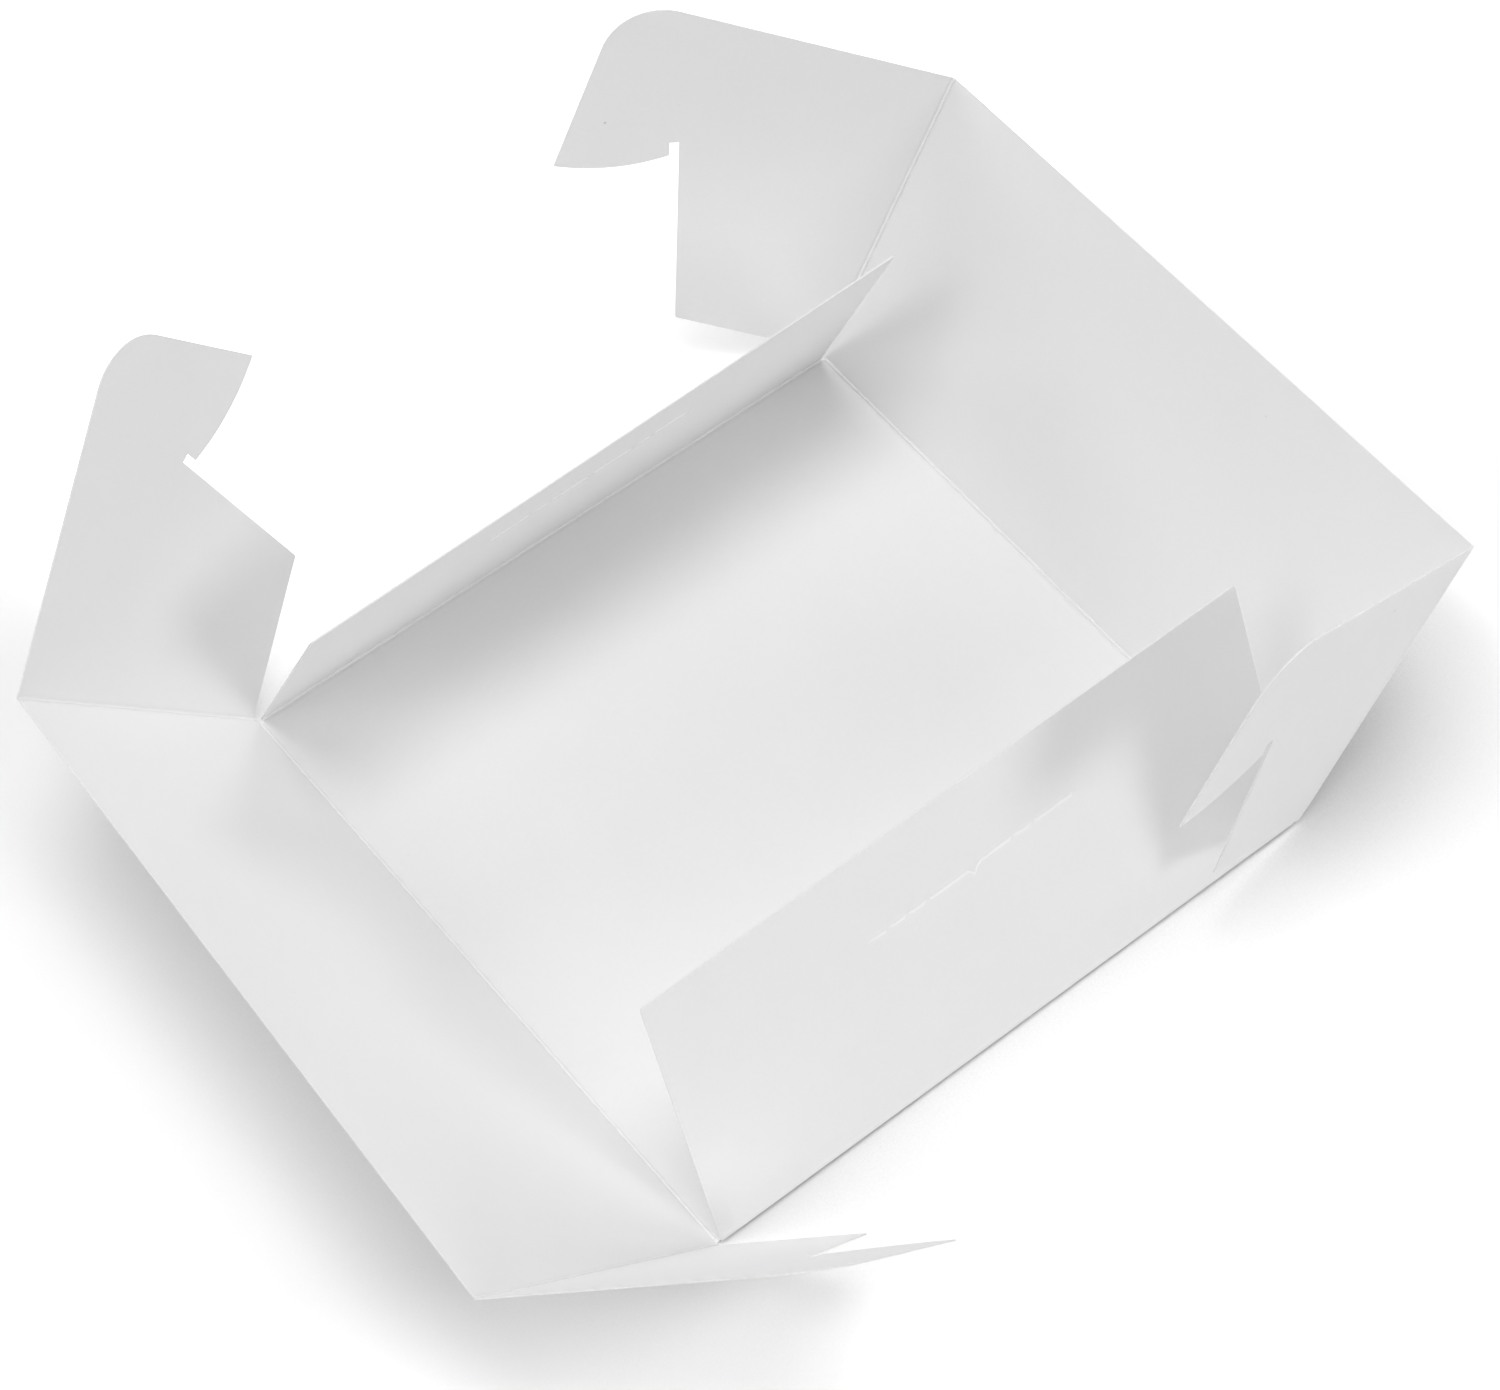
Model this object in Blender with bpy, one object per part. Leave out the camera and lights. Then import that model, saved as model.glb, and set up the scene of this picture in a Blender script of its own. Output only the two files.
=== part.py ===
"""A folded board cake box, standing open as a tray.

One sheet of white board is creased into a square base, two low end walls (front and back), two taller
side walls (left and right) and four hooked wings, one at each end of each side wall. When the box is
closed the wings wrap round the end walls and their hooks drop into the slits there. Here each panel is
a piece of its own, and each crease line is a raised bead of board between two panels, which is the
living hinge that they turn on.

Units are metres. +Z is up, +X runs from the left wall to the right wall, +Y from the front wall to the
back wall. The origin is the middle of the base's underside.

Each panel is drawn flat in a frame of its own: X along its crease, Y away from the crease, Z towards
the inside of the box. The crease's turning line is that frame's X axis.
"""

import math

import bmesh
import bpy
from mathutils import Matrix, Vector

MM = 0.001
QUARTER_TURN = math.radians(90)
HALF_TURN = math.radians(180)

# Panels
BASE_SIDE = 254 * MM
SIDE_WALL_HEIGHT = 127 * MM
END_WALL_HEIGHT = 105.5 * MM
BOARD = 0.5 * MM

# Creases and the play between neighbours
CREASE_WIDTH = 1.36 * MM
CREASE_FOOT_WIDTH = 0.9 * MM
CREASE_RISE = 0.5 * MM
PIVOT_LIFT = 0.15 * MM
EDGE_GAP = 0.32 * MM
WRAP_GAP = 0.3 * MM
CORNER_RELIEF = 1.4 * MM
END_WALL_INSET = 1.4 * MM
SOFT_CORNER_RADIUS = 1.2 * MM

# Hooked wing: reach is measured from the wing's crease, height from the base
WING_REACH = 123.5 * MM
WING_TOP_FALL = 1 * MM
WING_SHOULDER_RADIUS = 21.5 * MM
WING_FOOT_HEIGHT = 2.5 * MM
WING_FOOT_REACH = 58.9 * MM
HOOK_TIP_HEIGHT = 53.5 * MM
HOOK_BELLY = 2.8 * MM
NOTCH_REACH = 84.1 * MM
NOTCH_HEIGHT = 75.1 * MM
NOTCH_WIDTH = 3.4 * MM
NOTCH_DEPTH = 5.3 * MM

# Slit that the hooks drop into, with a small dip where their tips meet
SLIT_LENGTH = 92 * MM
SLIT_HEIGHT = 72 * MM
SLIT_WIDTH = 0.5 * MM
DIP_WIDTH = 6.4 * MM
DIP_DEPTH = 3.1 * MM

# Cutters reach past the faces that they cut
CUT_OVERRUN = 1 * MM

# How far each panel stands folded up from flat, read from the photograph
LEFT_WALL_FOLD = math.radians(45.8)
RIGHT_WALL_FOLD = math.radians(62.8)
FRONT_WALL_FOLD = math.radians(113.5)
BACK_WALL_FOLD = math.radians(111.9)
LEFT_FRONT_WING_FOLD = math.radians(49.2)
LEFT_BACK_WING_FOLD = math.radians(64.3)
RIGHT_FRONT_WING_FOLD = math.radians(82.4)
RIGHT_BACK_WING_FOLD = math.radians(55.6)

SHOULDER_STEPS = 12
BELLY_STEPS = 10
SOFT_CORNER_STEPS = 3
CREASE_STEPS = 8
DIP_STEPS = 12

# Board finish
BOARD_COLOUR = (0.86, 0.86, 0.85, 1.0)
BOARD_ROUGHNESS = 0.62

# Sizes that follow from the ones above
INNER_FACE = -PIVOT_LIFT
OUTER_FACE = -PIVOT_LIFT - BOARD
PIVOT_HEIGHT = PIVOT_LIFT + BOARD
PANEL_SETBACK = CREASE_WIDTH / 2 + EDGE_GAP
WING_CREASE_OFFSET = BASE_SIDE / 2 + BOARD + WRAP_GAP


def clear_scene():
    for item in list(bpy.data.objects):
        bpy.data.objects.remove(item, do_unlink=True)


def board_material(name):
    material = bpy.data.materials.new(name + "_board")
    material.use_nodes = True
    shader = material.node_tree.nodes["Principled BSDF"]
    shader.inputs["Base Color"].default_value = BOARD_COLOUR
    shader.inputs["Roughness"].default_value = BOARD_ROUGHNESS
    shader.inputs["Metallic"].default_value = 0.0
    return material


def add_object(name, mesh, parent, placement):
    piece = bpy.data.objects.new(name, mesh)
    bpy.context.collection.objects.link(piece)
    piece.parent = parent
    piece.matrix_basis = placement
    return piece


def closed_mesh(name, near_ring, far_ring):
    """Join two matching rings of points into a closed solid with flat ends."""
    shape = bmesh.new()
    near = [shape.verts.new(point) for point in near_ring]
    far = [shape.verts.new(point) for point in far_ring]
    shape.faces.new(near)
    shape.faces.new(far)
    for index in range(len(near)):
        following = (index + 1) % len(near)
        shape.faces.new((near[index], near[following], far[following], far[index]))
    bmesh.ops.recalc_face_normals(shape, faces=shape.faces)
    mesh = bpy.data.meshes.new(name)
    shape.to_mesh(mesh)
    shape.free()
    return mesh


def add_panel(name, outline, parent, placement):
    """A flat panel of board cut to an outline."""
    outer = [(x, y, OUTER_FACE) for x, y in outline]
    inner = [(x, y, INNER_FACE) for x, y in outline]
    piece = add_object(name, closed_mesh(name, outer, inner), parent, placement)
    piece.data.materials.append(board_material(name))
    return piece


def crease_section():
    """The bead across its length: a flat foot level with the outer face and a low rounded back."""
    half_width = CREASE_WIDTH / 2
    crown = CREASE_RISE
    points = [(-CREASE_FOOT_WIDTH / 2, OUTER_FACE), (CREASE_FOOT_WIDTH / 2, OUTER_FACE)]
    for step in range(CREASE_STEPS + 1):
        turn = HALF_TURN * step / CREASE_STEPS
        points.append((half_width * math.cos(turn), INNER_FACE + crown * math.sin(turn)))
    return points


def add_crease(name, start, end, parent, placement):
    """A bead of board along the X axis from start to end."""
    section = crease_section()
    near = [(start, y, z) for y, z in section]
    far = [(end, y, z) for y, z in section]
    piece = add_object(name, closed_mesh(name, near, far), parent, placement)
    piece.data.materials.append(board_material(name))
    return piece


def rounded_corner(before, corner, after, radius):
    """Points of an arc that rounds the corner between two straight edges."""
    corner = Vector(corner)
    towards_before = (Vector(before) - corner).normalized()
    towards_after = (Vector(after) - corner).normalized()
    half_angle = towards_before.angle(towards_after) / 2
    middle = (towards_before + towards_after).normalized()
    centre = corner + middle * (radius / math.sin(half_angle))
    first = corner + towards_before * (radius / math.tan(half_angle)) - centre
    sweep = first.angle_signed(corner + towards_after * (radius / math.tan(half_angle)) - centre)
    points = []
    for step in range(SOFT_CORNER_STEPS + 1):
        turn = -sweep * step / SOFT_CORNER_STEPS
        turned = Matrix.Rotation(turn, 2) @ first
        points.append(tuple(centre + turned))
    return points


def bulged_edge(start, end, belly):
    """Points of an arc from start to end that bulges to the right of the way along by belly."""
    start = Vector(start)
    end = Vector(end)
    chord = end - start
    radius = chord.length_squared / (8 * belly) + belly / 2
    outward = Vector((chord.y, -chord.x)).normalized()
    centre = (start + end) / 2 - outward * (radius - belly)
    half_sweep = math.asin(chord.length / (2 * radius))
    points = []
    for step in range(BELLY_STEPS + 1):
        turn = half_sweep * (2 * step / BELLY_STEPS - 1)
        points.append(tuple(centre + Matrix.Rotation(turn, 2) @ (outward * radius)))
    return points


def wing_outline():
    """The hooked wing as reach and height, counter-clockwise from its foot at the crease."""
    foot = (WING_FOOT_REACH, WING_FOOT_HEIGHT)
    notch_root = Vector((NOTCH_REACH, NOTCH_HEIGHT))
    up_the_edge = (notch_root - Vector(foot)).normalized()
    across_the_notch = Vector((up_the_edge.y, -up_the_edge.x))
    notch_far_corner = notch_root + across_the_notch * NOTCH_WIDTH
    heel = notch_far_corner - up_the_edge * NOTCH_DEPTH
    tip = (WING_REACH, HOOK_TIP_HEIGHT)
    shoulder_centre = (
        WING_REACH - WING_SHOULDER_RADIUS,
        SIDE_WALL_HEIGHT - WING_TOP_FALL - WING_SHOULDER_RADIUS,
    )

    points = [(PANEL_SETBACK, WING_FOOT_HEIGHT)]
    points += rounded_corner(points[0], foot, notch_root, SOFT_CORNER_RADIUS)
    points += [tuple(notch_root), tuple(notch_far_corner)]
    points += bulged_edge(heel, tip, HOOK_BELLY)
    for step in range(SHOULDER_STEPS + 1):
        turn = QUARTER_TURN * step / SHOULDER_STEPS
        reach = shoulder_centre[0] + WING_SHOULDER_RADIUS * math.cos(turn)
        height = shoulder_centre[1] + WING_SHOULDER_RADIUS * math.sin(turn)
        points.append((reach, height))
    points.append((PANEL_SETBACK, SIDE_WALL_HEIGHT))
    return points


def end_wall_outline():
    """A low wall with its two top corners rounded."""
    half_width = BASE_SIDE / 2 - END_WALL_INSET
    bottom_left = (-half_width, PANEL_SETBACK)
    bottom_right = (half_width, PANEL_SETBACK)
    top_right = (half_width, END_WALL_HEIGHT)
    top_left = (-half_width, END_WALL_HEIGHT)
    points = [bottom_left, bottom_right]
    points += rounded_corner(bottom_right, top_right, top_left, SOFT_CORNER_RADIUS)
    points += rounded_corner(top_right, top_left, bottom_left, SOFT_CORNER_RADIUS)
    return points


def side_wall_outline():
    half_width = WING_CREASE_OFFSET - PANEL_SETBACK
    return [
        (-half_width, PANEL_SETBACK),
        (half_width, PANEL_SETBACK),
        (half_width, SIDE_WALL_HEIGHT),
        (-half_width, SIDE_WALL_HEIGHT),
    ]


def base_outline():
    half_width = BASE_SIDE / 2 - PANEL_SETBACK
    return [
        (-half_width, -half_width),
        (half_width, -half_width),
        (half_width, half_width),
        (-half_width, half_width),
    ]


def slit_path():
    """The slit's middle line: straight, with a smooth dip at its middle."""
    points = [(-SLIT_LENGTH / 2, SLIT_HEIGHT)]
    for step in range(DIP_STEPS + 1):
        share = step / DIP_STEPS
        drop = DIP_DEPTH * (1 - math.cos(2 * HALF_TURN * share)) / 2
        points.append((DIP_WIDTH * (share - 1 / 2), SLIT_HEIGHT - drop))
    points.append((SLIT_LENGTH / 2, SLIT_HEIGHT))
    return points


def cut_slit(wall):
    """Cut the slit through an end wall."""
    path = slit_path()
    lower_edge = [(x, y - SLIT_WIDTH / 2) for x, y in path]
    upper_edge = [(x, y + SLIT_WIDTH / 2) for x, y in reversed(path)]
    outline = lower_edge + upper_edge
    outside = [(x, y, OUTER_FACE - CUT_OVERRUN) for x, y in outline]
    inside = [(x, y, INNER_FACE + CUT_OVERRUN) for x, y in outline]
    cutter_name = wall.name + "_slit_cutter"
    cutter = add_object(cutter_name, closed_mesh(cutter_name, outside, inside), wall, Matrix())
    cutter.hide_render = True
    cutter.display_type = "WIRE"
    cut = wall.modifiers.new("slit", "BOOLEAN")
    cut.operation = "DIFFERENCE"
    cut.solver = "EXACT"
    cut.object = cutter


def crease_placement(heading):
    """The frame of a base crease whose wall stands at a heading, before the wall is folded."""
    return Matrix.Rotation(heading, 4, "Z") @ Matrix.Translation((0, BASE_SIDE / 2, 0))


def add_base_crease(name, heading, base):
    reach = BASE_SIDE / 2 - CORNER_RELIEF
    add_crease(name, -reach, reach, base, crease_placement(heading))


def add_end_wall(name, heading, fold, base):
    placement = crease_placement(heading) @ Matrix.Rotation(fold, 4, "X")
    wall = add_panel(name, end_wall_outline(), base, placement)
    cut_slit(wall)


def add_wing(name, side, fold, wall):
    """A wing and its crease at one end of a side wall: side is 1 at the +X end and -1 at the -X end."""
    unfolded = Matrix.Translation((side * WING_CREASE_OFFSET, 0, 0))
    unfolded = unfolded @ Matrix.Rotation(-side * QUARTER_TURN, 4, "Z")
    outline = [(-side * height, reach) for reach, height in wing_outline()]
    add_panel(name, outline, wall, unfolded @ Matrix.Rotation(fold, 4, "X"))
    foot = -side * WING_FOOT_HEIGHT
    top = -side * SIDE_WALL_HEIGHT
    add_crease(name + "_crease", foot, top, wall, unfolded)


def add_side_wall(name, heading, fold, base):
    placement = crease_placement(heading) @ Matrix.Rotation(fold, 4, "X")
    return add_panel(name, side_wall_outline(), base, placement)


def build_box():
    base = add_panel("base_panel", base_outline(), None, Matrix.Translation((0, 0, PIVOT_HEIGHT)))

    add_base_crease("back_crease", 0, base)
    add_base_crease("left_crease", QUARTER_TURN, base)
    add_base_crease("front_crease", HALF_TURN, base)
    add_base_crease("right_crease", -QUARTER_TURN, base)

    add_end_wall("back_wall", 0, BACK_WALL_FOLD, base)
    add_end_wall("front_wall", HALF_TURN, FRONT_WALL_FOLD, base)

    left_wall = add_side_wall("left_wall", QUARTER_TURN, LEFT_WALL_FOLD, base)
    add_wing("left_back_wing", 1, LEFT_BACK_WING_FOLD, left_wall)
    add_wing("left_front_wing", -1, LEFT_FRONT_WING_FOLD, left_wall)

    right_wall = add_side_wall("right_wall", -QUARTER_TURN, RIGHT_WALL_FOLD, base)
    add_wing("right_front_wing", 1, RIGHT_FRONT_WING_FOLD, right_wall)
    add_wing("right_back_wing", -1, RIGHT_BACK_WING_FOLD, right_wall)


clear_scene()
build_box()
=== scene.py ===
# %% [markdown]
# # A folded cake box, standing open
#
# The object is a bakery box folded from one sheet of white board. It has a square base, two low end
# walls that lean in over the base, two taller side walls that lean out, and a hooked wing at each end
# of each side wall. Nothing is glued: when the box is closed the wings wrap round the end walls and
# their hooks drop into slits there.
#
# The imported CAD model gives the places, the joints and the collision. It has flat panels and a gap at
# each crease. This script keeps all its places and draws the real thing over it: thin board that turns
# round each crease without a gap, cut edges, pressed crease beads, and the slight warp that board has
# when it stands open.

import math

import bpy
from mathutils import Matrix, Vector
from mathutils.geometry import delaunay_2d_cdt


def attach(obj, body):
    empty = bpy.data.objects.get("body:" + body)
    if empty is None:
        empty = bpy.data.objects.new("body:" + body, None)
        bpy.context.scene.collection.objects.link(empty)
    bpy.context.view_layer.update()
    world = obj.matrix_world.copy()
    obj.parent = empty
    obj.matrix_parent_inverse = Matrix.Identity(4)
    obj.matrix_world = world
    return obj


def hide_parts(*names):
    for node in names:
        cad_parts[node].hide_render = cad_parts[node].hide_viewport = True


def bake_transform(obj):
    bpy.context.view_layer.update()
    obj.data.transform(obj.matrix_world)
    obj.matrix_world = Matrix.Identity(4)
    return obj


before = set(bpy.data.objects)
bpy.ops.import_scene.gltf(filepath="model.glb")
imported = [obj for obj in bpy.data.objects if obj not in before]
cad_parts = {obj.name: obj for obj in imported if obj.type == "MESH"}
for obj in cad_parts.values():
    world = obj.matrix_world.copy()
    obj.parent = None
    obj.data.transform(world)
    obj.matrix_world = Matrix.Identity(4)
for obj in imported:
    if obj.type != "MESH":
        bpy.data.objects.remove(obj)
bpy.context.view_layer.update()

MM = 0.001

# %% [markdown]
# ## The camera
#
# In Blender a camera could be placed by eye, by a tracking constraint, or by its own axes. The
# photograph shows all four corners of a base that is known to be square, so the camera was worked out
# from them: its place, its direction and its lens. It is set here from its axes, because that keeps the
# small roll that a tracking constraint would lose. It looks down at the open box from the front left.

# %% Camera at the photograph's angle
PHOTO_WIDTH_PX = 1500
PHOTO_FOCAL_LENGTH_PX = 4200.5
SENSOR_WIDTH_MM = 36.0
CAMERA_PLACE = Vector((-494.9, -578.3, 1234.4)) * MM
CAMERA_LOOK = Vector((0.3465, 0.4144, -0.8416)).normalized()
CAMERA_RIGHT = Vector((0.7773, -0.6290, 0.0103))
CLIP_START = 10 * MM
CLIP_END = 100.0


def add_object(name, data):
    """A new object in the scene."""
    made = bpy.data.objects.new(name, data)
    bpy.context.collection.objects.link(made)
    return made


camera_up = CAMERA_RIGHT.cross(CAMERA_LOOK).normalized()
camera_right = CAMERA_LOOK.cross(camera_up)
camera_turn = Matrix((camera_right, camera_up, -CAMERA_LOOK)).transposed()

camera_data = bpy.data.cameras.new("photo_camera")
camera_data.lens = SENSOR_WIDTH_MM * PHOTO_FOCAL_LENGTH_PX / PHOTO_WIDTH_PX
camera_data.sensor_width = SENSOR_WIDTH_MM
camera_data.clip_start = CLIP_START
camera_data.clip_end = CLIP_END
camera = add_object("photo_camera", camera_data)
camera.matrix_world = Matrix.Translation(CAMERA_PLACE) @ camera_turn.to_4x4()
bpy.context.scene.camera = camera
print("Lens in mm:", round(camera_data.lens, 1))

# %% [markdown]
# ## Nodes by name
#
# Materials and Geometry Nodes are both made of nodes and links. A few small helpers keep the later
# cells short. `add_node` adds a node with its settings and wires its inputs, each to a plain value or
# to another node's output. The others add the kinds of node that come up again and again.

# %% Helpers for node trees
# A Mix node has a pair of inputs and an output for each kind of data, so its colours go by number
MIX_FIRST_COLOUR = 6
MIX_SECOND_COLOUR = 7
MIX_RESULT_COLOUR = 2


def feed(tree, node, sources):
    """Give each input, by name or number, a link if its source is a socket, or else a value."""
    for key, source in sources.items():
        if isinstance(source, bpy.types.NodeSocket):
            tree.links.new(source, node.inputs[key])
        else:
            node.inputs[key].default_value = source


def add_node(tree, kind, sources=None, **settings):
    """A new node, with its settings given by name."""
    made = tree.nodes.new(kind)
    for setting, value in settings.items():
        setattr(made, setting, value)
    feed(tree, made, sources or {})
    return made


def calculate(tree, operation, *values, clamp=False):
    """A Math node. Its result can feed the next one."""
    sources = dict(enumerate(values))
    made = add_node(tree, "ShaderNodeMath", sources, operation=operation, use_clamp=clamp)
    return made.outputs["Value"]


def map_range(tree, value, low, high, to_low=0.0, to_high=1.0, **settings):
    """A Map Range node."""
    sources = {"Value": value, "From Min": low, "From Max": high}
    sources |= {"To Min": to_low, "To Max": to_high}
    return add_node(tree, "ShaderNodeMapRange", sources, **settings).outputs["Result"]


def mix_colours(tree, share, first, second):
    """A Mix node that blends two colours."""
    sources = {"Factor": share, MIX_FIRST_COLOUR: first, MIX_SECOND_COLOUR: second}
    return add_node(tree, "ShaderNodeMix", sources, data_type="RGBA").outputs[MIX_RESULT_COLOUR]


def mix_shaders(tree, share, first, second):
    """A Mix Shader node that blends two shaders."""
    sources = {"Fac": share, 1: first, 2: second}
    return add_node(tree, "ShaderNodeMixShader", sources).outputs["Shader"]


def add_socket(tree, label, direction, kind, default=None):
    """A named socket on a group's interface."""
    made = tree.interface.new_socket(
        name=label, in_out=direction, socket_type="NodeSocket" + kind
    )
    if default is not None:
        made.default_value = default
    return made


# %% [markdown]
# ## Studio
#
# The box was photographed on a white table in light that comes from everywhere. One small lamp would
# cast a hard shadow, and the photograph has none. So the world gives part of the light, as a light tent
# does, and the rest comes from a few soft lamps round the box and overhead. Their soft shadows darken
# the base under the leaning back wall and the wing that stands behind it.
#
# The table has to be pure white behind the box, and still show the shadow. More light would burn out
# the box too. In a studio the table is lit on its own, and light linking does the same here: three
# lamps light the table alone, and three light the box alone. The table's own colour is also darkened
# where the box stands to the left of it, by an ambient occlusion node that looks that way. It deepens
# the soft shadow under the overhanging right wall and leaves the table behind the box white. What is
# left of the shadow behind the box is faded out, as in the photograph, by a faint glow that only the
# camera sees.

# %% World light
WORLD_STRENGTH = 0.40
BACKGROUND_STRENGTH = 1.0
WHITE = (1.0, 1.0, 1.0, 1.0)


def seen_directly(tree):
    """1 for what the camera sees itself, in a gloss or through glass, 0 for light that bounces."""
    path = add_node(tree, "ShaderNodeLightPath").outputs
    in_gloss = calculate(tree, "MAXIMUM", path["Is Glossy Ray"], path["Is Transmission Ray"])
    return calculate(tree, "MAXIMUM", path["Is Camera Ray"], in_gloss)


scene = bpy.context.scene
scene.view_settings.view_transform = "Standard"
world = bpy.data.worlds.new("light_tent")
world.use_nodes = True
scene.world = world
tent = world.node_tree
tent.nodes.clear()
light, backdrop = (
    add_node(tent, "ShaderNodeBackground", {"Color": WHITE, "Strength": strength}).outputs["Background"]
    for strength in (WORLD_STRENGTH, BACKGROUND_STRENGTH)
)
surface = mix_shaders(tent, seen_directly(tent), light, backdrop)
add_node(tent, "ShaderNodeOutputWorld", {"Surface": surface})
print("World strength:", WORLD_STRENGTH)

# %% Shade and glow of the table
SIDE_SHADOW_REACH = 100 * MM
SIDE_SHADOW_TILT = math.radians(60)
SIDE_SHADOW_DEPTH = 0.8
SIDE_SHADOW_SAMPLES = 4
# Where the table's glow begins and where it is full, along X and along Y
GLOW_X_RANGE = (-165 * MM, -135 * MM)
GLOW_Y_RANGE = (125 * MM, 150 * MM)
GLOW_STRENGTH = 0.30


def side_shadow(tree):
    """1 on open table, less where something stands close by on its left."""
    to_the_left = {"X": -math.sin(SIDE_SHADOW_TILT), "Z": math.cos(SIDE_SHADOW_TILT)}
    tilt = add_node(tree, "ShaderNodeCombineXYZ", to_the_left)
    nearby = add_node(
        tree,
        "ShaderNodeAmbientOcclusion",
        {"Distance": SIDE_SHADOW_REACH, "Normal": tilt.outputs["Vector"]},
        samples=SIDE_SHADOW_SAMPLES,
    ).outputs["AO"]
    return calculate(tree, "POWER", nearby, SIDE_SHADOW_DEPTH)


def glow_behind(tree):
    """The full glow behind the box, and none beside it or in front of it."""
    place = add_node(tree, "ShaderNodeTexCoord").outputs["Object"]
    axes = add_node(tree, "ShaderNodeSeparateXYZ", {"Vector": place}).outputs
    smooth = {"interpolation_type": "SMOOTHSTEP"}
    to_the_right = map_range(tree, axes["X"], *GLOW_X_RANGE, **smooth)
    backwards = map_range(tree, axes["Y"], *GLOW_Y_RANGE, **smooth)
    share = calculate(tree, "MULTIPLY", to_the_right, backwards)
    return calculate(tree, "MULTIPLY", share, GLOW_STRENGTH)


# %% White table material
FLOOR_COLOUR = (0.70, 0.70, 0.70, 1.0)
# How bright the table is where the camera sees it, without the shadows
FLOOR_SEEN_BRIGHTNESS = 0.95


def white_table_material():
    material = bpy.data.materials.new("white_table")
    material.use_nodes = True
    tree = material.node_tree
    tree.nodes.clear()
    bounced = add_node(tree, "ShaderNodeBsdfDiffuse", {"Color": FLOOR_COLOUR})
    brightness = calculate(tree, "MULTIPLY", side_shadow(tree), FLOOR_SEEN_BRIGHTNESS)
    lit = add_node(tree, "ShaderNodeBsdfDiffuse", {"Color": brightness})
    glow = add_node(tree, "ShaderNodeEmission", {"Strength": glow_behind(tree)})
    both = {0: lit.outputs["BSDF"], 1: glow.outputs["Emission"]}
    seen = add_node(tree, "ShaderNodeAddShader", both).outputs["Shader"]
    surface = mix_shaders(tree, seen_directly(tree), bounced.outputs["BSDF"], seen)
    add_node(tree, "ShaderNodeOutputMaterial", {"Surface": surface})
    return material


white_table = white_table_material()
print("Table material nodes:", len(white_table.node_tree.nodes))

# %% White table
FLOOR_SIDE = 8.0
# The board is never quite flat, so the edges of its base stand a little above the table
FLOOR_DROP = 1.5 * MM

half_floor = FLOOR_SIDE / 2
floor_corners = [(-1, -1), (1, -1), (1, 1), (-1, 1)]
floor_mesh = bpy.data.meshes.new("floor")
floor_mesh.from_pydata(
    [(x * half_floor, y * half_floor, -FLOOR_DROP) for x, y in floor_corners], [], [(0, 1, 2, 3)]
)
floor_mesh.materials.append(white_table)
floor = add_object("floor", floor_mesh)
print("Floor side in m:", FLOOR_SIDE)

# %% Soft lamps
# Each lamp's bearing from the front, seen from above, its height angle, its strength, and what it
# lights
SOFT_LAMPS = {
    "overhead": (0, 90, 0.89, "everything"),
    "left": (270, 45, 0.49, "everything"),
    "front_right": (22.5, 30, 0.63, "box"),
    "right": (112.5, 30, 0.40, "box"),
    "back": (202.5, 30, 0.50, "box"),
    "table_front": (22.5, 60, 0.61, "table"),
    "table_right": (45, 45, 0.73, "table"),
    "table_back_left": (247.5, 30, 0.64, "table"),
}
LAMP_SPREAD = math.radians(24)


def floor_in_collection(name, state):
    """A collection that tells a lamp to light the floor alone, or everything but the floor."""
    collection = bpy.data.collections.new(name)
    collection.objects.link(floor)
    collection.collection_objects[0].light_linking.link_state = state
    return collection


RECEIVERS = {
    "everything": None,
    "box": floor_in_collection("all_but_the_floor", "EXCLUDE"),
    "table": floor_in_collection("floor_alone", "INCLUDE"),
}


def add_soft_lamp(name, bearing, height_angle, strength, lights_up):
    """A lamp so far away that only its direction counts, and wide enough to blur its shadow."""
    round_the_table = math.radians(bearing)
    level = math.cos(math.radians(height_angle))
    towards_lamp = Vector(
        (
            math.sin(round_the_table) * level,
            -math.cos(round_the_table) * level,
            math.sin(math.radians(height_angle)),
        )
    )
    lamp_data = bpy.data.lights.new(name, "SUN")
    lamp_data.energy = strength
    lamp_data.angle = LAMP_SPREAD
    lamp = add_object(name, lamp_data)
    lamp.rotation_euler = towards_lamp.to_track_quat("Z", "Y").to_euler()
    lamp.light_linking.receiver_collection = RECEIVERS[lights_up]


for lamp_name, setting in SOFT_LAMPS.items():
    add_soft_lamp(lamp_name, *setting)
print("Soft lamps:", len(SOFT_LAMPS))

# %% [markdown]
# ## White board, looked at closely
#
# Folding board is pressed wood fibre with a thin white coat. From a step away it is plain white.
# Close to, it has three things that a single flat colour lacks: a cloudy mottle where the fibre is
# denser, a fine tooth that breaks up the gloss, and a few stray grey specks.
#
# The faces, the crease beads, the lips of the slits and the cut edges all use the same effects with
# different strengths, so each effect is a shader node group that is built once.

# %% Fibre mottle group
CLOUD_SCALE = 40.0
CLOUD_DETAIL = 4.0
CLOUD_SHARE = 0.5
FIBRE_SCALE = 900.0
FIBRE_DETAIL = 3.0
FIBRE_ROUGHNESS = 0.65
# The two noises together lie near 0.75, and these spread them over 0 to 1
DENSITY_GAIN = 1.8
DENSITY_OFFSET = -0.85
EVEN_ROUGHNESS = 0.5


def group_with(name, inputs, outputs):
    """An empty shader group: its tree, the sockets of what it is given, and its end node."""
    tree = bpy.data.node_groups.new(name, "ShaderNodeTree")
    for label, kind, default in inputs:
        add_socket(tree, label, "INPUT", kind, default)
    for label, kind in outputs:
        add_socket(tree, label, "OUTPUT", kind)
    return tree, add_node(tree, "NodeGroupInput").outputs, add_node(tree, "NodeGroupOutput")


def noise(tree, place, scale, detail, roughness=EVEN_ROUGHNESS):
    """A Noise Texture node."""
    sources = {"Vector": place, "Scale": scale, "Detail": detail, "Roughness": roughness}
    return add_node(tree, "ShaderNodeTexNoise", sources).outputs["Fac"]


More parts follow.
